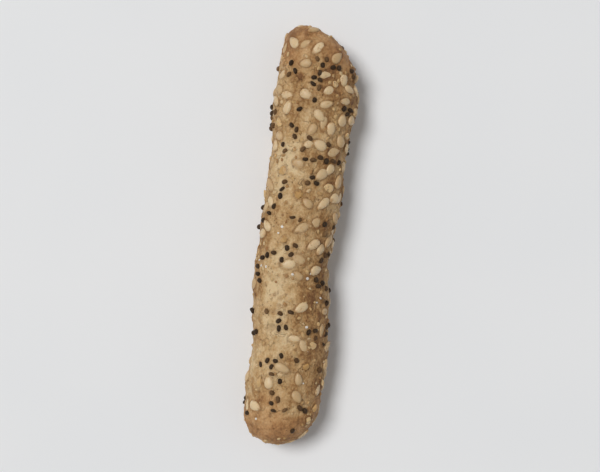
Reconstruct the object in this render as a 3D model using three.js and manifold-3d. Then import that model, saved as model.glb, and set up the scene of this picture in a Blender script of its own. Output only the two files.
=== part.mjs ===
// A short crisp breadstick: a finger-thick rod of baked dough with seeds stuck in its crust, one solid.
// Millimetres, +Z up. It lies along X on its flat underside, and the origin is under its middle.

import * as THREE from "three";
import { mergeVertices } from "three/addons/utils/BufferGeometryUtils.js";
import Module from "manifold-3d";

const wasm = await Module();
wasm.setup();

// The dough rod before it settles and bakes.
const stickLength = 76.8;
const doughRadius = 6.9;
// Each rounded end reaches depth along the stick. A squareness of 2 is an ellipse, and more is flatter.
// It slants back towards -Y by slope, and the more so the higher its curve is, per millimetre.
const domedEnd = { side: -1, depth: 5.6, squareness: 2.3, slope: 0.16, curve: 0.03 };
const cutEnd = { side: 1, depth: 4.4, squareness: 3, slope: 0.46, curve: 0.04 };
const slantReach = 13; // how far from an end its slant dies out

// What settling and baking do to it.
const crownHeight = 6.6; // from the rod's axis to the top of the crust
const undersideDrop = 6; // from the rod's axis down to the flat underside
const undersideBlend = 0.35; // softens the corner where the side meets the underside
const footSpread = 0.035; // how much wider the dough sags near its foot
const bow = 0.9; // sideways bend over the whole length
const shiftToMiddle = new THREE.Vector2(-0.45, 0.184); // brings the baked stick's middle over the origin

// Ripples left by rolling, in the radius: height, wave length, lobes round the stick and phase.
const ripples = [
  { height: 0.12, wave: 31, lobes: 1, phase: 0.7 },
  { height: 0.1, wave: 17, lobes: 2, phase: 2.1 },
  { height: 0.07, wave: 9.5, lobes: 1, phase: 4.4 },
  { height: 0.05, wave: 6.1, lobes: 3, phase: 1.3 },
];

// Places where the dough is thicker or thinner: along X, angle from the top towards +Y in degrees,
// height, reach along the stick and spread round it in degrees.
const bulges = [
  { at: 25, angle: -85, height: 1.1, reach: 6, spread: 50 },
  { at: 27, angle: 85, height: 0.35, reach: 5, spread: 55 },
  { at: 10, angle: -80, height: 0.3, reach: 7, spread: 60 },
  { at: 9, angle: 85, height: -0.35, reach: 8, spread: 60 },
  { at: 3, angle: 5, height: 0.2, reach: 8, spread: 40 },
  { at: -5, angle: -85, height: -0.45, reach: 4.5, spread: 55 },
  { at: -20, angle: -85, height: 0.75, reach: 7, spread: 60 },
  { at: -22, angle: 85, height: -0.5, reach: 7, spread: 60 },
  { at: -33, angle: 20, height: -0.25, reach: 5, spread: 60 },
];

// Toppings, the largest first. Not every try finds a place. Sizes are length, width and thickness, uneven
// is how much they vary, and sunk is the share of a seed that is under the crust. Gap is the least distance
// between seeds in mean sizes, clumps the share of seeds that land beside the last one, and thin how many
// of them the bare stretch along the crown goes without.
const toppings = [
  {
    kind: "sesame", tries: 235, size: [2.75, 1.7, 0.85], sunk: 0.42, uneven: 0.14,
    gap: 0.8, clumps: 0, thin: 0.9,
  },
  {
    kind: "onion", tries: 90, size: [1.9, 1.45, 0.85], sunk: 0.4, uneven: 0.3,
    gap: 0.9, clumps: 0, thin: 0.7,
  },
  {
    kind: "poppy", tries: 425, size: [1.15, 0.98, 0.9], sunk: 0.3, uneven: 0.13,
    gap: 0.92, clumps: 0.35, thin: 0.25,
  },
];

// A seed's sides seen from above, its outline from below to the top as shares of its half width and
// half thickness, and how much narrower it is at its point.
const seedShapes = {
  sesame: { sides: 6, outline: [[0, -1], [1, 0], [0.62, 0.8], [0, 0.8]], taper: 0.3 },
  onion: { sides: 5, outline: [[0, -1], [1, 0.1], [0.6, 0.9], [0, 0.9]], taper: 0.15 },
  poppy: { sides: 6, outline: [[0, -1], [1, 0.1], [0, 1]], taper: 0.1 },
};
const seedReach = 37.4; // seeds lie no further along the stick than this
const clumpReach = 1.35; // how far a seed in a clump lies from the seed before it
const lean = 0.16; // the most that a seed tips out of the crust's surface, in radians
const scatterSeed = 489;

// How finely the solids are divided.
const roundSteps = 26;
const lengthSteps = 30;
const endSteps = 5;
const mergeTolerance = 0.015;

// ---- Numbers ----

// A small random generator whose every draw is a whole-number step.
const randomModulus = 2147483647;
let randomState = scatterSeed;
function random() {
  randomState = (randomState * 16807) % randomModulus;
  return randomState / randomModulus;
}

const bell = (distance, reach) => Math.exp(-((distance / reach) ** 2));

function smoothStep(value, from, to) {
  const t = Math.min(1, Math.max(0, (value - from) / (to - from)));
  return t * t * (3 - 2 * t);
}

// The shortest way from one angle to another, both in radians.
const turnBetween = (a, b) => Math.abs(Math.atan2(Math.sin(a - b), Math.cos(a - b)));

// ---- The dough ----

const endAt = (along) => (along < 0 ? domedEnd : cutEnd);

// The rod's radius at a place along it.
function rodRadius(along) {
  const { depth, squareness } = endAt(along);
  const share = Math.max(0, Math.abs(along) - stickLength / 2 + depth) / depth;
  return doughRadius * Math.max(0, 1 - share ** squareness) ** (1 / squareness);
}

// How far the baked crust stands out from the rod there. The angle runs from the top towards +Y.
function unevenness(along, angle) {
  let height = 0;
  for (const ripple of ripples) {
    const turn = ripple.lobes * angle + ripple.phase;
    height += ripple.height * Math.sin((2 * Math.PI * along) / ripple.wave + turn);
  }
  for (const bulge of bulges) {
    const away = turnBetween(angle, THREE.MathUtils.degToRad(bulge.angle));
    const spread = THREE.MathUtils.degToRad(bulge.spread);
    height += bulge.height * bell(along - bulge.at, bulge.reach) * bell(away, spread);
  }
  return height;
}

// Presses what would lie below the underside flat, with a soft corner.
function restOnUnderside(height) {
  if (height > undersideBlend) return height;
  if (height < -undersideBlend) return 0;
  return (height + undersideBlend) ** 2 / (4 * undersideBlend);
}

// Moves a point of the round rod to its place on the baked stick.
function bake(point) {
  const along = point.x;
  const angle = Math.atan2(point.y, point.z);
  const grown = 1 + unevenness(along, angle) / doughRadius;
  const sag = 1 + footSpread * smoothStep(-point.z, 0, doughRadius);
  const across = point.y * grown * sag;
  const { side, slope, curve } = endAt(along);
  const slant = smoothStep(Math.abs(along), stickLength / 2 - slantReach, stickLength / 2);
  return point.set(
    along + side * slant * (slope - curve * across) * across + shiftToMiddle.x,
    across + bow * (Math.cos((Math.PI * along) / stickLength) - 0.5) + shiftToMiddle.y,
    restOnUnderside((point.z * grown * crownHeight) / doughRadius + undersideDrop),
  );
}

// One rounded end's profile, from its tip to where the straight stretch begins.
function endProfile({ side, depth, squareness }) {
  const profile = [new THREE.Vector2(0, (side * stickLength) / 2)];
  for (let i = 1; i <= endSteps; i++) {
    const turn = ((i / endSteps) * Math.PI) / 2;
    const out = Math.sin(turn) ** (2 / squareness);
    const reach = i === endSteps ? 0 : Math.cos(turn) ** (2 / squareness);
    profile.push(new THREE.Vector2(doughRadius * out, side * (stickLength / 2 - depth + depth * reach)));
  }
  return profile;
}

function doughGeometry() {
  const profile = endProfile(domedEnd);
  const from = domedEnd.depth - stickLength / 2;
  const to = stickLength / 2 - cutEnd.depth;
  for (let i = 1; i < lengthSteps; i++) {
    profile.push(new THREE.Vector2(doughRadius, from + ((to - from) * i) / lengthSteps));
  }
  profile.push(...endProfile(cutEnd).reverse());
  const rod = new THREE.LatheGeometry(profile, roundSteps);
  rod.rotateZ(-Math.PI / 2);
  const corners = rod.getAttribute("position");
  const corner = new THREE.Vector3();
  for (let i = 0; i < corners.count; i++) {
    bake(corner.fromBufferAttribute(corners, i));
    corners.setXYZ(i, corner.x, corner.y, corner.z);
  }
  return rod;
}

// ---- Seeds ----

function crustPoint(along, angle) {
  const radius = rodRadius(along);
  return bake(new THREE.Vector3(along, radius * Math.sin(angle), radius * Math.cos(angle)));
}

// A seed's frame on the crust: the point, the way out of the crust and the way along it.
function crustFrame(along, angle) {
  const step = 0.02;
  const point = crustPoint(along, angle);
  const lengthwise = crustPoint(along + step, angle).sub(crustPoint(along - step, angle)).normalize();
  const around = crustPoint(along, angle + step).sub(crustPoint(along, angle - step)).normalize();
  const outward = lengthwise.clone().cross(around).normalize();
  return { point, outward, lengthwise };
}

// The share of a topping's seeds that stay, from 0 to 1. The -Y flank and the stretch near the slanted end
// have the most. The bare stretch along the crown, the far sides, the underside and the ends have fewer.
function cover({ thin }, along, angle) {
  const flank = (0.8 - 0.2 * Math.sin(angle)) * (0.85 + 0.3 * bell(along - 22, 13));
  const patches = 1 - 0.3 * Math.sin(along / 4.3 + 2 * angle) ** 2;
  const bare = bell(along + 13, 17) * bell(turnBetween(angle, 0.42), 0.5);
  const farSide = smoothStep(Math.abs(angle), 1.2, 1.7);
  const underside = smoothStep(Math.abs(angle), 2.5, 2.9);
  const endFace = smoothStep(Math.abs(along), 35, 37);
  const sides = flank * patches * (1 - thin * bare) * (1 - 0.22 * farSide);
  return sides * (1 - 0.85 * underside) * (1 - 0.5 * endFace);
}

// Every seed's kind, size and place. Each try makes the same number of draws, kept or not.
function placeSeeds() {
  const seeds = [];
  for (const topping of toppings) {
    let last = null;
    for (let i = 0; i < topping.tries; i++) {
      const draws = Array.from({ length: 10 }, random);
      let along = seedReach * (2 * draws[0] - 1);
      let angle = Math.PI * (2 * draws[1] - 1);
      if (last && draws[2] < topping.clumps) {
        const way = 2 * Math.PI * draws[1];
        along = last.along + clumpReach * Math.cos(way);
        angle = last.angle + (clumpReach / doughRadius) * Math.sin(way);
      }
      if (Math.abs(along) > seedReach || draws[3] > cover(topping, along, angle)) continue;
      const size = topping.size.map((s, axis) => s * (1 + topping.uneven * (2 * draws[4 + axis] - 1)));
      const frame = crustFrame(along, angle);
      const reach = (size[0] + size[1]) / 4;
      const crowded = seeds.some(
        (seed) => seed.point.distanceTo(frame.point) < topping.gap * (seed.reach + reach),
      );
      if (crowded) continue;
      last = { along, angle };
      seeds.push({
        ...frame,
        kind: topping.kind,
        sunk: topping.sunk,
        size,
        reach,
        spin: 2 * Math.PI * draws[7],
        tip: lean * (2 * draws[8] - 1),
        roll: lean * (2 * draws[9] - 1),
      });
    }
  }
  return seeds;
}

// A seed's shape, one unit from the middle to each side, with its point at +X.
function seedGeometry(kind) {
  const { sides, outline, taper } = seedShapes[kind];
  const seed = new THREE.LatheGeometry(
    outline.map(([out, up]) => new THREE.Vector2(out, up)),
    sides,
  );
  seed.rotateX(Math.PI / 2).rotateZ(Math.PI / 2);
  const corners = seed.getAttribute("position");
  for (let i = 0; i < corners.count; i++) {
    corners.setY(i, corners.getY(i) * (1 - taper * corners.getX(i)));
  }
  return seed;
}

function placedSeed(seed) {
  const across = seed.outward.clone().cross(seed.lengthwise);
  const turned = new THREE.Matrix4().makeBasis(seed.lengthwise, across, seed.outward);
  const turns = new THREE.Euler(seed.roll, seed.tip, seed.spin, "ZYX");
  const spun = new THREE.Matrix4().makeRotationFromEuler(turns);
  const middle = seed.point.clone().addScaledVector(seed.outward, seed.size[2] * (0.5 - seed.sunk));
  const [length, width, thickness] = seed.size;
  return seedGeometry(seed.kind)
    .scale(length / 2, width / 2, thickness / 2)
    .applyMatrix4(spun)
    .applyMatrix4(turned)
    .translate(middle.x, middle.y, middle.z);
}

// ---- Solids ----

function solidFrom(geometry) {
  geometry.deleteAttribute("normal");
  geometry.deleteAttribute("uv");
  const merged = mergeVertices(geometry, 1e-4);
  const whole = [];
  for (let i = 0; i < merged.index.count; i += 3) {
    const [a, b, c] = [0, 1, 2].map((k) => merged.index.getX(i + k));
    if (a !== b && b !== c && c !== a) whole.push(a, b, c);
  }
  return new wasm.Manifold(
    new wasm.Mesh({
      numProp: 3,
      vertProperties: merged.getAttribute("position").array,
      triVerts: new Uint32Array(whole),
    }),
  );
}

function geometryFrom(solid) {
  const mesh = solid.getMesh();
  return new THREE.BufferGeometry()
    .setAttribute("position", new THREE.BufferAttribute(mesh.vertProperties, 3))
    .setIndex(new THREE.BufferAttribute(mesh.triVerts, 1));
}

function breadstick() {
  const depth = 4;
  const table = new THREE.BoxGeometry(2 * stickLength, 2 * stickLength, depth).translate(0, 0, -depth / 2);
  const seeded = wasm.Manifold.union([
    solidFrom(doughGeometry()),
    ...placeSeeds().map((seed) => solidFrom(placedSeed(seed))),
  ]);
  const geometry = geometryFrom(seeded.subtract(solidFrom(table)).simplify(mergeTolerance));
  geometry.computeVertexNormals();
  const crust = new THREE.MeshStandardMaterial({ color: 0xc79a63, roughness: 0.75, metalness: 0 });
  const mesh = new THREE.Mesh(geometry, crust);
  mesh.name = "breadstick";
  return mesh;
}

const part = new THREE.Group();
part.add(breadstick());

export default part;
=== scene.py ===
import math
import bmesh
import bpy
from mathutils import Euler, Matrix, Vector, kdtree, noise


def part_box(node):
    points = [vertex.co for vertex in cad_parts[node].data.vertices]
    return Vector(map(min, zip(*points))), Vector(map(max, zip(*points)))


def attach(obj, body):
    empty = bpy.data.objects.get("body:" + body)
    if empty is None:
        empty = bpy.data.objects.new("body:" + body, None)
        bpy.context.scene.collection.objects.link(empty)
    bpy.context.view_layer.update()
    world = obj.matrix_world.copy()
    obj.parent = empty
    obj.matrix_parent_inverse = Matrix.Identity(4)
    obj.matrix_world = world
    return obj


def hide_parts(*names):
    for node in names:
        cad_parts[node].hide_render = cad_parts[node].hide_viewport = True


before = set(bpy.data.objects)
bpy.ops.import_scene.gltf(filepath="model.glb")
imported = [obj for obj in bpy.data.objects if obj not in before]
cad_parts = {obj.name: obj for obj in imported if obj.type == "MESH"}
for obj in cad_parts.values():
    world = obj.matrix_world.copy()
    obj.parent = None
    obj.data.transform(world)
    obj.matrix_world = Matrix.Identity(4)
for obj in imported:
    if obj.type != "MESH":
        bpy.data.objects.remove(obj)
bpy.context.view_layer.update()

metresPerMm = 0.001


class Draws:  # a small random generator, the same one that the solids use
    factor = 16807
    modulus = 2147483647

    def __init__(self, start):
        self.state = start

    def next(self):
        self.state = self.state * self.factor % self.modulus
        return self.state / self.modulus

    def between(self, low, high):
        return low + (high - low) * self.next()


def bell(distance, reach):
    return math.exp(-((distance / reach) ** 2))


def smoothStep(value, low, high):
    share = min(1.0, max(0.0, (value - low) / (high - low)))
    return share * share * (3 - 2 * share)


def eitherWay(draw):  # a draw spread from -1 to 1
    return 2 * draw - 1


def turnBetween(a, b):  # the shortest way from one angle to another
    return abs(math.atan2(math.sin(a - b), math.cos(a - b)))


# The dough's form follows the same rule as the solid.
dough = {
    "length": 76.8,
    "radius": 6.9,
    # each end: how far it reaches, how square it is, and how it slants back towards -Y
    "domedEnd": {"side": -1, "depth": 5.6, "squareness": 2.3, "slope": 0.16, "curve": 0.03},
    "cutEnd": {"side": 1, "depth": 4.4, "squareness": 3.0, "slope": 0.46, "curve": 0.04},
    "slantReach": 13,
    "crownHeight": 6.6,  # from the rod's axis to the top
    "undersideDrop": 6.0,  # from the rod's axis to the flat underside
    "undersideBlend": 0.35,
    "footSpread": 0.035,
    "bow": 0.9,  # how far the middle is bent sideways from the ends
    "shiftToMiddle": (-0.45, 0.184),
    # height, wave length, lobes round the stick, phase
    "ripples": [(0.12, 31, 1, 0.7), (0.1, 17, 2, 2.1), (0.07, 9.5, 1, 4.4), (0.05, 6.1, 3, 1.3)],
    # place along X, angle from the top in degrees, height, reach, spread in degrees
    "bulges": [
        (25, -85, 1.1, 6, 50),
        (27, 85, 0.35, 5, 55),
        (10, -80, 0.3, 7, 60),
        (9, 85, -0.35, 8, 60),
        (3, 5, 0.2, 8, 40),
        (-5, -85, -0.45, 4.5, 55),
        (-20, -85, 0.75, 7, 60),
        (-22, 85, -0.5, 7, 60),
        (-33, 20, -0.25, 5, 60),
    ],
}


def endAt(along):
    return dough["domedEnd"] if along < 0 else dough["cutEnd"]


def rodRadius(along):
    end = endAt(along)
    share = max(0.0, abs(along) - dough["length"] / 2 + end["depth"]) / end["depth"]
    return dough["radius"] * max(0.0, 1 - share ** end["squareness"]) ** (1 / end["squareness"])


def evenProfile():  # the rod's outline from end to end, in equal steps
    half = dough["length"] / 2
    steps = crust["capPoints"]
    line = []
    for end in (dough["domedEnd"], dough["cutEnd"]):
        cap = []
        for i in range(steps + 1):
            turn = math.pi / 2 * i / steps
            out = dough["radius"] * math.sin(turn) ** (2 / end["squareness"])
            back = end["depth"] * (1 - max(0.0, math.cos(turn)) ** (2 / end["squareness"]))
            cap.append(Vector((end["side"] * (half - back), 0, out)))
        line += cap if end["side"] < 0 else cap[::-1]
    run = [0.0]
    for a, b in zip(line, line[1:]):
        run.append(run[-1] + (b - a).length)
    spots = []
    k = 0
    for i in range(crust["rings"] + 1):
        target = run[-1] * i / crust["rings"]
        while k < len(run) - 2 and run[k + 1] < target:
            k += 1
        spots.append(line[k].lerp(line[k + 1], (target - run[k]) / (run[k + 1] - run[k])))
    return spots


def unevenness(along, angle):
    height = 0
    for size, wave, lobes, phase in dough["ripples"]:
        height += size * math.sin(2 * math.pi * along / wave + lobes * angle + phase)
    for place, turn, size, reach, spread in dough["bulges"]:
        away = turnBetween(angle, math.radians(turn))
        height += size * bell(along - place, reach) * bell(away, math.radians(spread))
    return height


def restOnUnderside(height):
    blend = dough["undersideBlend"]
    if height > blend:
        return height
    return 0.0 if height < -blend else (height + blend) ** 2 / (4 * blend)


def bake(spot):  # moves a point of the round rod to its place on the baked stick
    along = spot.x
    half = dough["length"] / 2
    angle = math.atan2(spot.y, spot.z)
    grown = 1 + unevenness(along, angle) / dough["radius"]
    sag = 1 + dough["footSpread"] * smoothStep(-spot.z, 0, dough["radius"])
    across = spot.y * grown * sag
    end = endAt(along)
    slant = end["side"] * smoothStep(abs(along), half - dough["slantReach"], half)
    bend = dough["bow"] * (math.cos(math.pi * along / (2 * half)) - 0.5)
    up = spot.z * grown * dough["crownHeight"] / dough["radius"]
    return Vector((
        along + slant * (end["slope"] - end["curve"] * across) * across + dough["shiftToMiddle"][0],
        across + bend + dough["shiftToMiddle"][1],
        restOnUnderside(up + dough["undersideDrop"]),
    ))


def crustPoint(along, angle):
    radius = rodRadius(along)
    return bake(Vector((along, radius * math.sin(angle), radius * math.cos(angle))))


# Where the seeds lie follows the same rule as the solid too, for the first three kinds.
# The other kinds are only here.
toppings = {
    # how many tries, length, width and thickness, how much of that is under the crust, how much
    # sizes vary, how near each other they may lie, the share in clumps, and the share that the
    # crown's bare stretch goes without
    "sesame": {"tries": 235, "size": (2.75, 1.7, 0.85), "sunk": 0.42, "uneven": 0.14, "gap": 0.8,
               "clumps": 0, "thin": 0.9},
    "onion": {"tries": 90, "size": (1.9, 1.45, 0.85), "sunk": 0.4, "uneven": 0.3, "gap": 0.9,
              "clumps": 0, "thin": 0.7},
    "poppy": {"tries": 425, "size": (1.15, 0.98, 0.9), "sunk": 0.3, "uneven": 0.13, "gap": 0.92,
              "clumps": 0.35, "thin": 0.25},
    # some of these lie on the ends too, are densest at a place, or are nowhere thinner than a share
    "pressedSesame": {"tries": 480, "size": (2.6, 1.6, 0.7), "sunk": 0.64, "uneven": 0.16,
                      "gap": 0.7, "clumps": 0, "thin": 0.8, "ends": True, "dense": 24},
    "pressedPoppy": {"tries": 90, "size": (1.05, 0.9, 0.8), "sunk": 0.5, "uneven": 0.15,
                     "gap": 0.9, "clumps": 0.2, "thin": 0.72, "ends": True},
    "sesameDent": {"tries": 30, "size": (2.6, 1.6, 0.3), "sunk": 0.5, "uneven": 0.14,
                   "gap": 0.85, "clumps": 0, "thin": 0.72},
    "poppyDent": {"tries": 110, "size": (1.05, 0.9, 0.3), "sunk": 0.5, "uneven": 0.15,
                  "gap": 0.9, "clumps": 0.3, "thin": 0.72, "ends": True},
    "granule": {"tries": 1600, "size": (0.9, 0.7, 0.55), "sunk": 0.42, "uneven": 0.4,
                "gap": 0.78, "clumps": 0.25, "thin": 0.72, "ends": True, "everywhere": 0.4},
    "salt": {"tries": 120, "size": (0.46, 0.42, 0.36), "sunk": 0.35, "uneven": 0.35, "gap": 0.9,
             "clumps": 0.2, "thin": 0.72},
}
scatter = {
    "start": 489,
    "drawsPerTry": 10,
    "seedReach": 37.4,  # how far from the middle of the stick they lie
    "tipGap": 0.03,  # what the kinds that lie on the ends too leave free at the tips
    "clumpReach": 1.35,
    "lean": 0.16,  # the most that a seed leans, in radians
    "step": 0.02,  # over which the crust's slope is measured
}
# How thickly they lie. Places are along X, and angles are in radians from the top.
coverage = {
    "crown": 0.8,
    "flank": 0.2,  # how much more there is towards -Y
    "slantedEnd": {"place": 22, "reach": 13, "least": 0.85, "more": 0.3},
    "patches": {"wave": 4.3, "lobes": 2, "less": 0.3},
    "bareStretch": {"place": -13, "reach": 17, "angle": 0.42, "spread": 0.5},
    # from where, to where, and how much less
    "farSide": (1.2, 1.7, 0.22),
    "underside": (2.5, 2.9, 0.85),
    "endFaces": (35, 37, 0.5),
    "denseReach": 13,  # how far a kind is dense from its place
    "away": 0.4,  # how thickly it still lies further off
}


def cover(topping, along, angle):  # the share of a topping's seeds that stay
    end, patches, bare = (coverage[name] for name in ("slantedEnd", "patches", "bareStretch"))
    share = coverage["crown"] - coverage["flank"] * math.sin(angle)
    share *= end["least"] + end["more"] * bell(along - end["place"], end["reach"])
    share *= 1 - patches["less"] * math.sin(along / patches["wave"] + patches["lobes"] * angle) ** 2
    bareness = bell(along - bare["place"], bare["reach"])
    bareness *= bell(turnBetween(angle, bare["angle"]), bare["spread"])
    share *= 1 - topping["thin"] * bareness
    for name, where in (("farSide", angle), ("underside", angle), ("endFaces", along)):
        low, high, less = coverage[name]
        share *= 1 - less * smoothStep(abs(where), low, high)
    if "dense" in topping:
        dense = bell(along - topping["dense"], coverage["denseReach"])
        share *= coverage["away"] + (1 - coverage["away"]) * dense
    return max(share, topping.get("everywhere", 0))


def crustFrame(along, angle):
    step = scatter["step"]
    lengthwise = (crustPoint(along + step, angle) - crustPoint(along - step, angle)).normalized()
    around = (crustPoint(along, angle + step) - crustPoint(along, angle - step)).normalized()
    return crustPoint(along, angle), lengthwise.cross(around).normalized(), lengthwise


def seedTurn(outward, lengthwise, spin, tip, roll):
    across = outward.cross(lengthwise)
    standing = Matrix((lengthwise, across, outward)).transposed()
    return standing @ Euler((roll, tip, spin), "XYZ").to_matrix()


def addSeed(seeds, kind, along, angle, form, shade):  # unless it would crowd another
    topping = toppings[kind]
    *sizes, spin, tip, roll = form
    stretches = (1 + topping["uneven"] * eitherWay(draw) for draw in sizes)
    size = [s * stretch for s, stretch in zip(topping["size"], stretches)]
    point, outward, lengthwise = crustFrame(along, angle)
    reach = (size[0] + size[1]) / 4  # the mean of half its length and half its width
    if any((s["point"] - point).length < topping["gap"] * (s["reach"] + reach) for s in seeds):
        return False
    tip, roll = (scatter["lean"] * eitherWay(draw) for draw in (tip, roll))
    seeds.append({
        "kind": kind,
        "point": point,
        "reach": reach,
        "size": size,
        "turned": seedTurn(outward, lengthwise, 2 * math.pi * spin, tip, roll),
        "middle": point + outward * size[2] * (0.5 - topping["sunk"]),
        "shade": shade,
    })
    return True


def placeSeeds():
    draws = Draws(scatter["start"])
    profile = evenProfile()
    seeds = []
    for kind, topping in toppings.items():
        onEnds = "ends" in topping
        limit = dough["length"] / 2 - scatter["tipGap"] if onEnds else scatter["seedReach"]
        last = None
        for _ in range(topping["tries"]):
            place, turn, clump, stay, *form = [draws.next() for _ in range(scatter["drawsPerTry"])]
            along = profile[int(place * len(profile))].x if onEnds else limit * eitherWay(place)
            angle = math.pi * eitherWay(turn)
            if last and clump < topping["clumps"]:
                way = 2 * math.pi * turn
                along = last[0] + scatter["clumpReach"] * math.cos(way)
                angle = last[1] + scatter["clumpReach"] / dough["radius"] * math.sin(way)
            share = cover(topping, along, angle)
            if abs(along) > limit or stay > share:
                continue
            if addSeed(seeds, kind, along, angle, form, stay / share):
                last = (along, angle)
    return seeds


def ofKinds(seeds, *kinds):
    return [seed for seed in seeds if seed["kind"] in kinds]


class Wire:  # a node's output, so that shader maths is written as an expression
    def __init__(self, nodes, socket):
        self.nodes = nodes
        self.socket = socket

    def maths(self, operation, first, second):
        return self.nodes.node("Math", {"operation": operation}, {0: first, 1: second})

    def __add__(self, other):
        return self.maths("ADD", self, other)

    def __radd__(self, other):
        return self.maths("ADD", other, self)

    def __sub__(self, other):
        return self.maths("SUBTRACT", self, other)

    def __rsub__(self, other):
        return self.maths("SUBTRACT", other, self)

    def __mul__(self, other):
        return self.maths("MULTIPLY", self, other)

    def __rmul__(self, other):
        return self.maths("MULTIPLY", other, self)


class Nodes:  # a node tree under construction
    def __init__(self, tree):
        self.tree = tree
        self.tree.nodes.clear()

    def node(self, kind, settings, inputs, output=0):
        made = self.tree.nodes.new("ShaderNode" + kind)
        for name, value in settings.items():
            if name == "stops":
                stops = made.color_ramp.elements
                for i, (place, colour) in enumerate(value):
                    stop = stops[i] if i < 2 else stops.new(place)  # a ramp starts with two stops
                    stop.position = place
                    stop.color = (*colour, 1)
            else:
                setattr(made, name, value)
        for name, value in inputs.items():
            if isinstance(value, Wire):
                self.tree.links.new(value.socket, made.inputs[name])
            else:
                made.inputs[name].default_value = value
        return Wire(self, made.outputs[output]) if made.outputs else None

    def ramp(self, value, stops):
        return self.node("ValToRGB", {"stops": stops}, {"Fac": value})


class Finish(Nodes):  # a material's nodes, with patterns measured in millimetres
    cloudRange = (0.3, 0.7)  # where a cloud's values mostly lie

    def __init__(self, name):
        self.material = bpy.data.materials.new(name)
        self.material.use_nodes = True
        super().__init__(self.material.node_tree)
        metres = self.node("TexCoord", {}, {}, "Object")
        self.mm = self.scaled(metres, 1 / metresPerMm)

    def scaled(self, vector, times):
        return self.node("VectorMath", {"operation": "SCALE"}, {0: vector, "Scale": times})

    def attribute(self, name):
        return self.node("Attribute", {"attribute_name": name}, {}, "Fac")

    def stretched(self, scale):
        return self.node("Mapping", {}, {"Vector": self.mm, "Scale": scale})

    def warped(self, scale, detail, much):  # the place pushed about, so a pattern isn't regular
        inputs = {"Vector": self.mm, "Scale": scale, "Detail": detail}
        push = self.scaled(self.node("TexNoise", {}, inputs, "Color"), much)
        return self.node("VectorMath", {"operation": "ADD"}, {0: self.mm, 1: push})

    def cloud(self, scale, detail, roughness=0.5, vector=None):  # noise round 0.5
        return self.node("TexNoise", {}, {
            "Vector": vector or self.mm, "Scale": scale, "Detail": detail, "Roughness": roughness,
        })

    def cells(self, scale, feature="F1", vector=None):  # distance from a cell's middle, or its edge
        return self.node("TexVoronoi", {"feature": feature}, {
            "Vector": vector or self.mm, "Scale": scale,
        })

    def between(self, value, low, high, bottom=0.0, top=1.0):
        return self.node("MapRange", {"interpolation_type": "SMOOTHSTEP"}, {
            "Value": value, "From Min": low, "From Max": high, "To Min": bottom, "To Max": top,
        })

    def below(self, value, low, high):  # 1 where the value is low
        return self.between(value, low, high, 1.0, 0.0)

    def over(self, cloud, bottom, top):  # a cloud spread from bottom to top
        return self.between(cloud, *self.cloudRange, bottom, top)

    def areas(self, scale, detail, low, high):  # 1 in the areas where a cloud is high
        return self.between(self.cloud(scale, detail), low, high)

    def shades(self, value, piece):  # runs through a piece's own colours
        return self.ramp(value, [(place, piece[name]) for place, name in piece["shades"]])

    def blend(self, share, first, second, how="MIX"):
        first = first if isinstance(first, Wire) else (*first, 1)
        second = second if isinstance(second, Wire) else (*second, 1)
        settings = {"data_type": "RGBA", "blend_type": how}
        return self.node("Mix", settings, {0: share, 6: first, 7: second}, 2)

    def bump(self, height, mm):
        return self.node("Bump", {}, {"Height": height, "Distance": mm * metresPerMm})

    def surface(self, inputs, glow=None):
        if glow:
            share, colour, depth = glow
            inputs["Subsurface Weight"] = share
            inputs["Subsurface Radius"] = colour
            inputs["Subsurface Scale"] = depth * metresPerMm
        shader = self.node("BsdfPrincipled", {}, inputs)
        self.node("OutputMaterial", {}, {"Surface": shader})
        return self.material


def finishPiece(name, mesh, material, smooth=True):
    bmesh.ops.scale(mesh, vec=(metresPerMm,) * 3, verts=mesh.verts)
    bmesh.ops.recalc_face_normals(mesh, faces=mesh.faces)
    data = bpy.data.meshes.new(name)
    mesh.to_mesh(data)
    mesh.free()
    if smooth:
        data.shade_smooth()
    data.materials.append(material)
    piece = bpy.data.objects.new(name, data)
    bpy.context.collection.objects.link(piece)
    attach(piece, "root")
    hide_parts("breadstick")
    print(name, "made,", sum(len(p.vertices) - 2 for p in data.polygons), "triangles")


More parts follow.
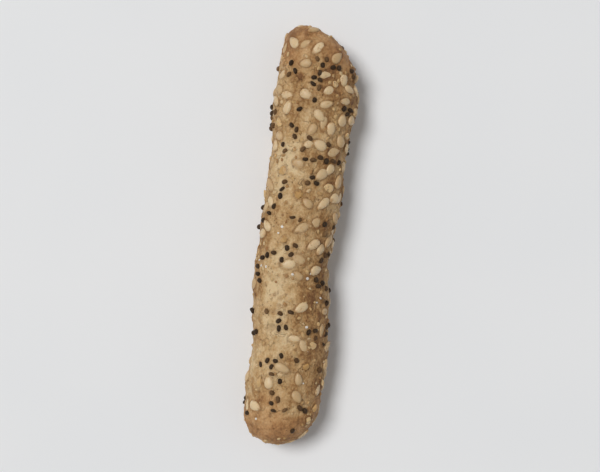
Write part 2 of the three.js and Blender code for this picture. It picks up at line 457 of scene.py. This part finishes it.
crust = {
    "rings": 400,
    "sides": 208,
    "capPoints": 300,  # fine steps that an end's profile is measured with
    "lumps": [(3.8, 0.13), (1.7, 0.13), (0.85, 0.09)],  # wave length and height of the dough's skin
    "bubbles": [(2.6, 0.17), (1.3, 0.1)],  # spacing and height
    "bubbleReach": (0.2, 0.32),  # of the smallest, and how much more the largest has, in spacings
    "bubbleLeast": 0.15,  # smaller swellings stay flat
    "bubbleMix": 9.7,  # makes each bubble's size out of its place
    "bubbleShift": 7,  # between the patterns of large and small bubbles
    "seedNear": 2.6,  # how far from its middle a seed can change the crust
    "fullReach": 0.6,  # the reach of a seed that changes it fully
    # heights and depths in mm, places and widths in half a seed's own length and width
    "collar": {"height": 0.12, "place": 1.1, "width": 0.32},  # dough risen round each seed
    "creaseShadowLine": {"place": 1.05, "width": 0.16},  # painted shade: a dark line painted where seed and crust meet
    "dent": {"depth": 0.26, "wall": (0.55, 1.15), "rim": 0.05, "rimPlace": 1.3, "rimWidth": 0.25},
    # painted shade: how much the inside of each dent is darkened
    "dentPaintedShade": 0.7,
    "underside": 0.04,  # its lowest height, so that seeds pressed flat under it still show
    # how brown the oven made it: everywhere, and how much more each of these adds
    "browned": {
        "evenly": 0.38, "streaks": 0.42, "patches": 0.34, "ends": 0.12, "flank": 0.16,
        "farSide": 0.08, "underside": 0.24, "lumps": 1.0, "bubbles": 1.7, "dents": -0.1,
        "mottle": 1.35, "fine": 0.95, "grain": 0.35,
    },
    # from where to where it comes in, along the stick for the ends and by the angle for the rest
    "zones": {
        "ends": (29, 38), "flank": (-0.12, 0.4), "farSide": (0.55, 0.85), "underside": (0.75, 0.97),
    },
    "streakWave": (13, 4.5),  # along and across the stick
    "patchWave": 4.2,
    "patchShift": 9,
    "softLimit": (0.6, 0.5),  # past the first, browning grows at the second's rate
    # browner or paler places: along X, angle in degrees, how much, reach and spread in degrees
    "browning": [
        (-13, 20, -0.24, 19, 30),
        (10, 22, -0.14, 8, 25),
        (25, 25, -0.16, 9, 28),
        (8, -6, 0.14, 7, 12),
        (26, -45, 0.26, 4, 25),
        (31, -10, 0.14, 3, 18),
        (15, -30, 0.14, 5, 20),
        (-3, -38, 0.16, 6, 20),
        (-20, -35, 0.14, 6, 22),
        (-35, 35, 0.24, 4, 40),
        (36, 60, 0.16, 4, 60),
    ],
    "shades": [(0.0, "straw"), (1.0, "brown"), (0.4, "gold"), (0.72, "tan")],  # by how brown it is
    "straw": (0.76, 0.56, 0.315),
    "gold": (0.60, 0.385, 0.18),
    "tan": (0.41, 0.22, 0.08),
    "brown": (0.20, 0.088, 0.03),
    "blush": (0.53, 0.29, 0.125),  # the warmer colour of the ends
    "blushTint": (1.0, 0.86, 0.8),
    "blushShare": 0.35,
    "blushEdge": (28, 38),  # where along the stick it comes in
    "blushWander": 5,  # how far its edge strays, and over what length
    # waves in a mm, detail and roughness
    "clouds": {
        "mottle": (0.55, 4, 0.6), "fine": (2.3, 5, 0.6), "grain": (7, 3, 0.6), "swell": (1.3, 2),
        "scorch": (0.85, 4, 0.65),
    },
    "mottleStretch": (0.7, 1, 1),
    "cells": {"pores": 1.5, "flecks": 0.62, "cracks": 0.42},  # in a mm
    "crackWarp": (0.7, 3, 1.8),  # waves in a mm, detail, and how far they push
    # the two levels between which a pattern fades in or out, and flecks do in the mottle
    "edges": {
        "pores": (0.12, 0.26), "flecks": (0.08, 0.26), "fleckedMottle": (0.45, 0.6),
        "scorch": (0.55, 0.7), "cracks": (0.0, 0.028),
    },
    # the areas with pores or cracks: waves in a mm, detail, and the levels where they fade in
    "poreAreas": (0.35, 1, 0.5, 0.62),
    "crackAreas": [(0.22, 2, 0.48, 0.62), (0.8, 1, 0.44, 0.56)],
    # how far each darkens the crust towards brown; the last is painted shade in dents and along each
    # seed's edge
    "stainedAndShaded": {"pores": 0.45, "flecks": 0.6, "scorch": 0.5, "cracks": 0.35, "paintedShade": 0.5},
    # how far each raises the crust, or lowers it for pores and cracks, in shares of the relief in mm
    "raised": {"swell": 0.9, "fine": 0.6, "grain": 0.35, "pores": 0.5, "cracks": 0.45},
    "relief": 0.36,
    "roughness": (0.6, 0.78),
    "shine": 0.35,
    "glow": (0.06, (1.0, 0.5, 0.25), 0.8),  # how much light gets in, its colour, how deep in mm
}


def doughRod():
    mesh = bmesh.new()
    spots = evenProfile()
    tips = [mesh.verts.new(spots[0]), mesh.verts.new(spots[-1])]
    axis = mesh.edges.new(tips)
    bmesh.ops.subdivide_edges(mesh, edges=[axis], cuts=crust["rings"] - 1)
    for v, spot in zip(sorted(mesh.verts, key=lambda v: v.co.x), spots):
        v.co = spot
    bmesh.ops.spin(
        mesh, geom=mesh.verts[:] + mesh.edges[:], axis=(1, 0, 0), cent=(0, 0, 0),
        angle=2 * math.pi, steps=crust["sides"], use_merge=True,
    )
    bmesh.ops.remove_doubles(mesh, verts=mesh.verts, dist=1e-4)
    bmesh.ops.recalc_face_normals(mesh, faces=mesh.faces)
    return mesh


def seedTree(seeds):
    tree = kdtree.KDTree(len(seeds))
    for i, seed in enumerate(seeds):
        tree.insert(seed["point"], i)
    tree.balance()
    return tree


def roundSeeds(spot, seeds, tree):  # the crust's rise, how far the spot is in a dent, and the painted shade along each seed's edge
    collar, creaseShadowLine, dent = crust["collar"], crust["creaseShadowLine"], crust["dent"]
    height = 0.0
    dented = 0.0
    creaseShadow = 0.0
    for _, i, _ in tree.find_range(spot, crust["seedNear"]):
        seed = seeds[i]
        if seed["kind"] == "salt":
            continue
        small = min(1, seed["reach"] / crust["fullReach"])
        offset = seed["turned"].transposed() @ (spot - seed["point"])
        away = math.hypot(offset.x / (seed["size"][0] / 2), offset.y / (seed["size"][1] / 2))
        if seed["kind"].endswith("Dent"):
            inside = 1 - smoothStep(away, *dent["wall"])
            rim = dent["rim"] * bell(away - dent["rimPlace"], dent["rimWidth"])
            height += rim - dent["depth"] * inside * small
            dented = max(dented, inside)
        else:
            height += collar["height"] * bell(away - collar["place"], collar["width"]) * small
            # painted shade: darker along the line where seed and crust meet
            creaseShadow = max(creaseShadow, small * bell(away - creaseShadowLine["place"], creaseShadowLine["width"]))
    return height, dented, creaseShadow


def lumpRise(spot):
    rise = 0
    for i, (wave, height) in enumerate(crust["lumps"]):
        rise += height * noise.noise(spot / wave + Vector((i, 0, 0)))
    return rise


def bubbleRise(spot):
    least, more = crust["bubbleReach"]
    rise = 0.0
    for i, (spacing, height) in enumerate(crust["bubbles"]):
        away, middles = noise.voronoi(spot / spacing + Vector((0, crust["bubbleShift"] * i, 0)))
        swelling = noise.cell(middles[0] * crust["bubbleMix"])
        if swelling > crust["bubbleLeast"]:
            reach = least + more * swelling
            rise += height * swelling * max(0.0, 1 - (away[0] / reach) ** 2)
    return rise


def browning(spot, along, angle):  # how brown the oven made the crust there, from 0 to about 1
    browned = crust["browned"]
    lengthwise, crosswise = crust["streakWave"]
    streak = noise.noise(Vector((spot.x / lengthwise, spot.y / crosswise, spot.z / crosswise)))
    patch = noise.noise(spot / crust["patchWave"] + Vector((crust["patchShift"], 0, 0)))
    brown = browned["evenly"] + browned["streaks"] * streak + browned["patches"] * patch
    where = {
        "ends": abs(along), "flank": -math.sin(angle), "farSide": math.sin(angle),
        "underside": -math.cos(angle),
    }
    for zone, edges in crust["zones"].items():
        brown += browned[zone] * smoothStep(where[zone], *edges)
    for place, turn, much, reach, spread in crust["browning"]:
        away = turnBetween(angle, math.radians(turn))
        brown += much * bell(along - place, reach) * bell(away, math.radians(spread))
    limit, rate = crust["softLimit"]
    return brown if brown < limit else limit + rate * (brown - limit)


def makeCrust(seeds):
    mesh = doughRod()
    print("dough rod spun,", len(mesh.verts), "points")
    rod = [v.co.copy() for v in mesh.verts]
    for v in mesh.verts:
        v.co = bake(v.co)
    mesh.normal_update()
    toast = mesh.verts.layers.float.new("toast")
    # painted shade in dents and along each seed's edge
    paintedShade = mesh.verts.layers.float.new("paintedShade")
    blush = mesh.verts.layers.float.new("blush")
    tree = seedTree(seeds)
    browned = crust["browned"]
    wander = crust["blushWander"]
    for v, start in zip(mesh.verts, rod):
        spot = v.co.copy()
        angle = math.atan2(start.y, start.z)
        lump = lumpRise(spot)
        bubble = bubbleRise(spot)
        height, dented, creaseShadow = roundSeeds(spot, seeds, tree)
        v.co += v.normal * (lump + bubble + height)
        v.co.z = max(crust["underside"], v.co.z)
        brown = browning(spot, start.x, angle) + browned["lumps"] * lump
        v[toast] = brown + browned["bubbles"] * bubble + browned["dents"] * dented
        outward = abs(start.x) + wander * noise.noise(spot / wander)
        v[blush] = smoothStep(outward, *crust["blushEdge"])
        # painted shade: the dents' insides and the line round each seed are darkened
        v[paintedShade] = max(crust["dentPaintedShade"] * dented, creaseShadow)
    return mesh


def crustFinish():
    finish = Finish("baked crust")
    clouds, cells, edges = crust["clouds"], crust["cells"], crust["edges"]
    browned, stainedAndShaded, raised = crust["browned"], crust["stainedAndShaded"], crust["raised"]
    mottle = finish.cloud(*clouds["mottle"], finish.stretched(crust["mottleStretch"]))
    fine = finish.cloud(*clouds["fine"])
    grain = finish.cloud(*clouds["grain"])
    toast = finish.attribute("toast") + browned["mottle"] * (mottle - 0.5)
    toast = toast + browned["fine"] * (fine - 0.5) + browned["grain"] * (grain - 0.5)
    colour = finish.shades(toast, crust)
    blush = finish.attribute("blush")
    warmer = finish.blend(blush, colour, crust["blushTint"], "MULTIPLY")
    colour = finish.blend(blush * crust["blushShare"], warmer, crust["blush"])
    pores = finish.below(finish.cells(cells["pores"]), *edges["pores"])
    pores = pores * finish.areas(*crust["poreAreas"])
    flecks = finish.below(finish.cells(cells["flecks"]), *edges["flecks"])
    flecks = flecks * finish.between(mottle, *edges["fleckedMottle"])
    scorch = finish.between(finish.cloud(*clouds["scorch"]), *edges["scorch"])
    cracks = finish.cells(cells["cracks"], "DISTANCE_TO_EDGE", finish.warped(*crust["crackWarp"]))
    cracks = finish.below(cracks, *edges["cracks"])
    for areas in crust["crackAreas"]:
        cracks = cracks * finish.areas(*areas)
    # pores, flecks, scorch and cracks darken the crust, and so does the painted shade of dents and
    # seed edges
    stainsAndShade = {
        "pores": pores, "flecks": flecks, "scorch": scorch, "cracks": cracks,
        "paintedShade": finish.attribute("paintedShade"),
    }
    for name, darkening in stainsAndShade.items():
        colour = finish.blend(darkening * stainedAndShaded[name], colour, crust["brown"])
    height = raised["swell"] * finish.cloud(*clouds["swell"]) + raised["fine"] * fine
    height = height + raised["grain"] * grain - raised["pores"] * pores - raised["cracks"] * cracks
    return finish.surface({
        "Base Color": colour,
        "Roughness": finish.over(mottle, *crust["roughness"]),
        "Specular IOR Level": crust["shine"],
        "Normal": finish.bump(height, crust["relief"]),
    }, crust["glow"])


def placeShape(mesh, verts, seed, shade=None):  # a shape with a radius of 1 becomes the seed
    stretched = Matrix.Diagonal((*(s / 2 for s in seed["size"]), 1))
    placed = Matrix.Translation(seed["middle"]) @ seed["turned"].to_4x4() @ stretched
    bmesh.ops.transform(mesh, matrix=placed, verts=verts)
    for v in verts:
        v.co.z = max(0.0, v.co.z)
        if shade:
            v[shade] = seed["shade"]


sesame = {
    "sides": 12,
    "rows": 6,
    "taper": 0.3,  # how much narrower it is at its point
    "rounding": 0.1,  # how much narrower it is at both ends
    "rim": 0.12,  # how much thicker it is near its edge
    "rimPlace": 0.8,
    "rimWidth": 0.2,
    "thinPoint": 0.15,
    "longPoint": 0.08,
    "cream": (0.57, 0.38, 0.19),
    "ivory": (0.75, 0.56, 0.33),
    "toasted": (0.43, 0.235, 0.09),
    # where it is toasted: how much, and the two levels between which that comes in
    "toasting": {
        "point": (0.9, 0.4, 1.0), "patches": (0.8, 0.52, 0.75), "allOver": (0.4, 0.7, 1.0),
        "bluntEnd": (0.3, -0.6, -1.0),
    },
    "toastRange": (0.0, 1.25, 0.0, 0.85),  # from nothing up to the most
    "shadeRange": (0.1, 0.9),
    "patches": (1.6, 3),  # waves in a mm, and detail
    "grain": (9, 3),
    "relief": 0.03,
    "roughness": (0.38, 0.52),
    "shine": 0.45,
    "glow": (0.15, (1.0, 0.7, 0.4), 0.8),
}


def makeSesame(seeds):
    mesh = bmesh.new()
    shade = mesh.verts.layers.float.new("shade")
    place = mesh.verts.layers.float.new("place")
    for seed in seeds:
        made = bmesh.ops.create_uvsphere(
            mesh, u_segments=sesame["sides"], v_segments=sesame["rows"], radius=1,
        )
        for v in made["verts"]:
            x = v.co.x
            point = max(0.0, x)
            rim = bell(math.hypot(x, v.co.y) - sesame["rimPlace"], sesame["rimWidth"])
            v.co.y *= 1 - sesame["taper"] * x - sesame["rounding"] * x * x
            v.co.z *= 1 + sesame["rim"] * rim - sesame["thinPoint"] * point
            v.co.x = x + sesame["longPoint"] * point ** 3
            v[place] = v.co.x
        placeShape(mesh, made["verts"], seed, shade)
    return mesh


def sesameFinish():
    finish = Finish("sesame seed")
    shade = finish.attribute("shade")
    place = finish.attribute("place")
    cloud = finish.cloud(*sesame["patches"])
    shading = finish.between(shade, *sesame["shadeRange"])
    colour = finish.blend(shading, sesame["cream"], sesame["ivory"])
    where = {"point": place, "patches": cloud, "allOver": shade, "bluntEnd": place}
    toasts = [
        much * finish.between(where[name], low, high)
        for name, (much, low, high) in sesame["toasting"].items()
    ]
    toasted = finish.between(sum(toasts[1:], toasts[0]), *sesame["toastRange"])
    return finish.surface({
        "Base Color": finish.blend(toasted, colour, sesame["toasted"]),
        "Roughness": finish.over(cloud, *sesame["roughness"]),
        "Specular IOR Level": sesame["shine"],
        "Normal": finish.bump(finish.cloud(*sesame["grain"]), sesame["relief"]),
    }, sesame["glow"])


poppy = {
    "fineness": 2,
    "notch": 0.5,  # how deep the kidney's dent is
    "notchPlace": (0.1, -1, 0.2),
    "notchReach": 0.7,
    "curl": 0.12,  # how far its ends lie to one side of its middle
    "curlMiddle": 0.4,
    "netCells": 5.2,  # cells of the net on its skin, per millimetre
    "netWidth": 0.14,
    "netShare": 0.6,
    "relief": 0.05,
    "shades": [(0.0, "black"), (1.0, "tan"), (0.6, "slate"), (0.85, "umber")],  # from seed to seed
    "black": (0.024, 0.0125, 0.0052),
    "slate": (0.056, 0.032, 0.0145),
    "umber": (0.135, 0.065, 0.022),
    "tan": (0.26, 0.145, 0.06),
    "net": (0.13, 0.07, 0.031),
    "roughness": (0.48, 0.64),  # of the skin and of its net
    "shine": 0.26,
}


def makePoppy(seeds):
    mesh = bmesh.new()
    shade = mesh.verts.layers.float.new("shade")
    for seed in seeds:
        made = bmesh.ops.create_icosphere(mesh, subdivisions=poppy["fineness"], radius=1)
        for v in made["verts"]:
            notch = bell((v.co - Vector(poppy["notchPlace"])).length, poppy["notchReach"])
            v.co.y += poppy["notch"] * notch + poppy["curl"] * (v.co.x ** 2 - poppy["curlMiddle"])
        placeShape(mesh, made["verts"], seed, shade)
    return mesh


def poppyFinish():
    finish = Finish("poppy seed")
    net = finish.below(finish.cells(poppy["netCells"], "DISTANCE_TO_EDGE"), 0.0, poppy["netWidth"])
    colour = finish.shades(finish.attribute("shade"), poppy)
    return finish.surface({
        "Base Color": finish.blend(net * poppy["netShare"], colour, poppy["net"]),
        "Roughness": finish.between(net, 0.0, 1.0, *poppy["roughness"]),
        "Specular IOR Level": poppy["shine"],
        "Normal": finish.bump(net, poppy["relief"]),
    })


onion = {
    "start": 4711,  # of the random draws
    "fineness": 3,  # of the ball that it is cut from
    "cuts": 7,
    "cutDepth": (0.5, 0.85),  # from its middle, where its own radius is 1
    "amber": (0.50, 0.28, 0.09),
    "honey": (0.72, 0.50, 0.25),
    "scorched": (0.16, 0.06, 0.02),
    "scorching": (0.52, 0.75, 0.0, 0.8),  # levels of its patches where it comes in, and how much
    "patches": (1.8, 4, 0.6),  # waves in a mm, detail and roughness
    "grain": (6, 3),
    "relief": 0.05,
    "roughness": (0.42, 0.6),
    "glow": (0.2, (1.0, 0.6, 0.25), 0.8),
}
garlic = {
    "start": 4711,
    "fineness": 1,
    "cuts": 3,
    "cutDepth": (0.5, 0.85),
    "shades": [(0.0, "pale"), (1.0, "toasted"), (0.45, "golden")],  # from granule to granule
    "pale": (0.66, 0.50, 0.29),
    "golden": (0.58, 0.38, 0.17),
    "toasted": (0.30, 0.14, 0.045),
    "yellowing": (0.4, 0.7, 0.0, 0.5),
    "patches": (2.5, 3),
    "grain": (7, 3),
    "relief": 0.04,
    "roughness": 0.6,
    "glow": (0.15, (1.0, 0.6, 0.25), 0.6),
}


def makeChips(seeds, chip):
    mesh = bmesh.new()
    shade = mesh.verts.layers.float.new("shade")
    draws = Draws(chip["start"])
    for seed in seeds:
        made = bmesh.ops.create_icosphere(mesh, subdivisions=chip["fineness"], radius=1)
        for _ in range(chip["cuts"]):
            way = Vector([draws.between(-1, 1) for _ in range(3)]).normalized()
            depth = draws.between(*chip["cutDepth"])
            for v in made["verts"]:
                v.co -= way * max(0.0, v.co.dot(way) - depth)
        placeShape(mesh, made["verts"], seed, shade)
    return mesh


def onionFinish():
    finish = Finish("onion granule")
    cloud = finish.cloud(*onion["patches"])
    shade = finish.between(finish.attribute("shade"), 0.0, 1.0)
    colour = finish.blend(shade, onion["amber"], onion["honey"])
    scorch = finish.between(cloud, *onion["scorching"])
    return finish.surface({
        "Base Color": finish.blend(scorch, colour, onion["scorched"]),
        "Roughness": finish.over(cloud, *onion["roughness"]),
        "Normal": finish.bump(finish.cloud(*onion["grain"]), onion["relief"]),
    }, onion["glow"])


def garlicFinish():
    finish = Finish("garlic granule")
    colour = finish.shades(finish.attribute("shade"), garlic)
    yellowed = finish.between(finish.cloud(*garlic["patches"]), *garlic["yellowing"])
    return finish.surface({
        "Base Color": finish.blend(yellowed, colour, onion["amber"]),
        "Roughness": garlic["roughness"],
        "Normal": finish.bump(finish.cloud(*garlic["grain"]), garlic["relief"]),
    }, garlic["glow"])


salt = {
    "side": 1.7,  # of the cube, which its size then stretches
    "bevel": 0.3,
    "white": (0.84, 0.82, 0.78),
    "dusty": (0.7, 0.62, 0.5),
    "patches": (2, 2),  # waves in a mm, and detail
    "grain": (8, 2),
    "relief": 0.03,
    "roughness": 0.3,
    "glow": (0.4, (1.0, 0.95, 0.85), 0.4),
}


def makeSalt(seeds):
    mesh = bmesh.new()
    for seed in seeds:
        verts = bmesh.ops.create_cube(mesh, size=salt["side"])["verts"]
        edges = list({edge for v in verts for edge in v.link_edges})
        made = bmesh.ops.bevel(
            mesh, geom=edges, offset=salt["bevel"], offset_type="OFFSET", segments=1, profile=0.5,
            affect="EDGES", material=-1,
        )
        placeShape(mesh, list({v for face in made["faces"] for v in face.verts}), seed)
    return mesh


def saltFinish():
    finish = Finish("salt grain")
    return finish.surface({
        "Base Color": finish.blend(finish.cloud(*salt["patches"]), salt["white"], salt["dusty"]),
        "Roughness": salt["roughness"],
        "Normal": finish.bump(finish.cloud(*salt["grain"]), salt["relief"]),
    }, salt["glow"])


studio = {
    "tableSize": 60,  # in metres, so that its edge is never seen
    "tableGap": 0.05,  # how far it lies under the stick, in mm
    "tableColours": ((0.86, 0.86, 0.86), (0.84, 0.845, 0.85)),
    "tablePatches": (0.02, 2),  # waves in a mm, and detail
    "tableRoughness": 0.6,
    "skyColours": [(0.0, (0.78, 0.79, 0.80)), (0.16, (0.24, 0.245, 0.25))],  # from the horizon up
    # where each soft light comes from, its strength, and how wide it looks in degrees
    "keyLight": ((0.16, 0.36, 0.90), 2.0, 22),
    "fillLight": ((-0.1, -0.9, 0.7), 0.12, 60),
    "lens": 85,
    "viewSize": (600, 472),  # its width and height in pixels
    "lean": 6.3,  # how far the stick leans to the right of upright in the view, in degrees
    "fill": 0.9,  # share of the view's height that the stick takes
}


def makeTable():
    mesh = bmesh.new()
    bmesh.ops.create_grid(mesh, x_segments=2, y_segments=2, size=studio["tableSize"] / 2)
    bmesh.ops.translate(mesh, vec=(0, 0, -studio["tableGap"] * metresPerMm), verts=mesh.verts)
    data = bpy.data.meshes.new("table")
    mesh.to_mesh(data)
    mesh.free()
    finish = Finish("pale table")
    shade = finish.over(finish.cloud(*studio["tablePatches"]), 0.0, 1.0)
    data.materials.append(finish.surface({
        "Base Color": finish.blend(shade, *studio["tableColours"]),
        "Roughness": studio["tableRoughness"],
    }))
    table = bpy.data.objects.new("table", data)
    bpy.context.collection.objects.link(table)


def makeLight(name, way, strength, width):
    data = bpy.data.lights.new(name, "SUN")
    data.angle = math.radians(width)
    data.energy = strength
    light = bpy.data.objects.new(name, data)
    light.rotation_euler = (-Vector(way)).to_track_quat("-Z", "Y").to_euler()
    bpy.context.collection.objects.link(light)


def makeSky():
    world = bpy.data.worlds.new("studio")
    world.use_nodes = True
    nodes = Nodes(world.node_tree)
    way = nodes.node("TexCoord", {}, {}, "Generated")
    height = nodes.node("SeparateXYZ", {}, {0: way}, "Z")
    sky = nodes.node("Background", {}, {"Color": nodes.ramp(height, studio["skyColours"])})
    nodes.node("OutputWorld", {}, {"Surface": sky})
    bpy.context.scene.world = world


def makeCamera():
    low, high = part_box("breadstick")
    lean = math.radians(studio["lean"])
    stickHeight = (high.x - low.x) * math.cos(lean) + (high.y - low.y) * math.sin(lean)
    width, height = studio["viewSize"]
    data = bpy.data.cameras.new("camera")
    data.lens = studio["lens"]
    viewShare = data.sensor_width * height / width / data.lens  # height seen at a distance of 1
    away = stickHeight / studio["fill"] / viewShare
    camera = bpy.data.objects.new("camera", data)
    camera.location = ((low.x + high.x) / 2, (low.y + high.y) / 2, (low.z + high.z) / 2 + away)
    camera.rotation_euler = (0, 0, lean - math.pi / 2)
    bpy.context.collection.objects.link(camera)
    bpy.context.scene.camera = camera


makeTable()
makeSky()
makeLight("keyLight", *studio["keyLight"])
makeLight("fillLight", *studio["fillLight"])
makeCamera()
bpy.context.scene.view_settings.view_transform = "Standard"
print("table, lights and camera placed")

seeds = placeSeeds()
print("seeds placed:", {kind: len(ofKinds(seeds, kind)) for kind in toppings})
sesameSeeds = ofKinds(seeds, "sesame", "pressedSesame")
poppySeeds = ofKinds(seeds, "poppy", "pressedPoppy")
onions = ofKinds(seeds, "onion")
granules = ofKinds(seeds, "granule")
grains = ofKinds(seeds, "salt")
finishPiece("crust", makeCrust(seeds), crustFinish())
finishPiece("sesameSeeds", makeSesame(sesameSeeds), sesameFinish())
finishPiece("poppySeeds", makePoppy(poppySeeds), poppyFinish())
finishPiece("onionChips", makeChips(onions, onion), onionFinish(), smooth=False)
finishPiece("garlicGranules", makeChips(granules, garlic), garlicFinish(), smooth=False)
finishPiece("saltGrains", makeSalt(grains), saltFinish(), smooth=False)
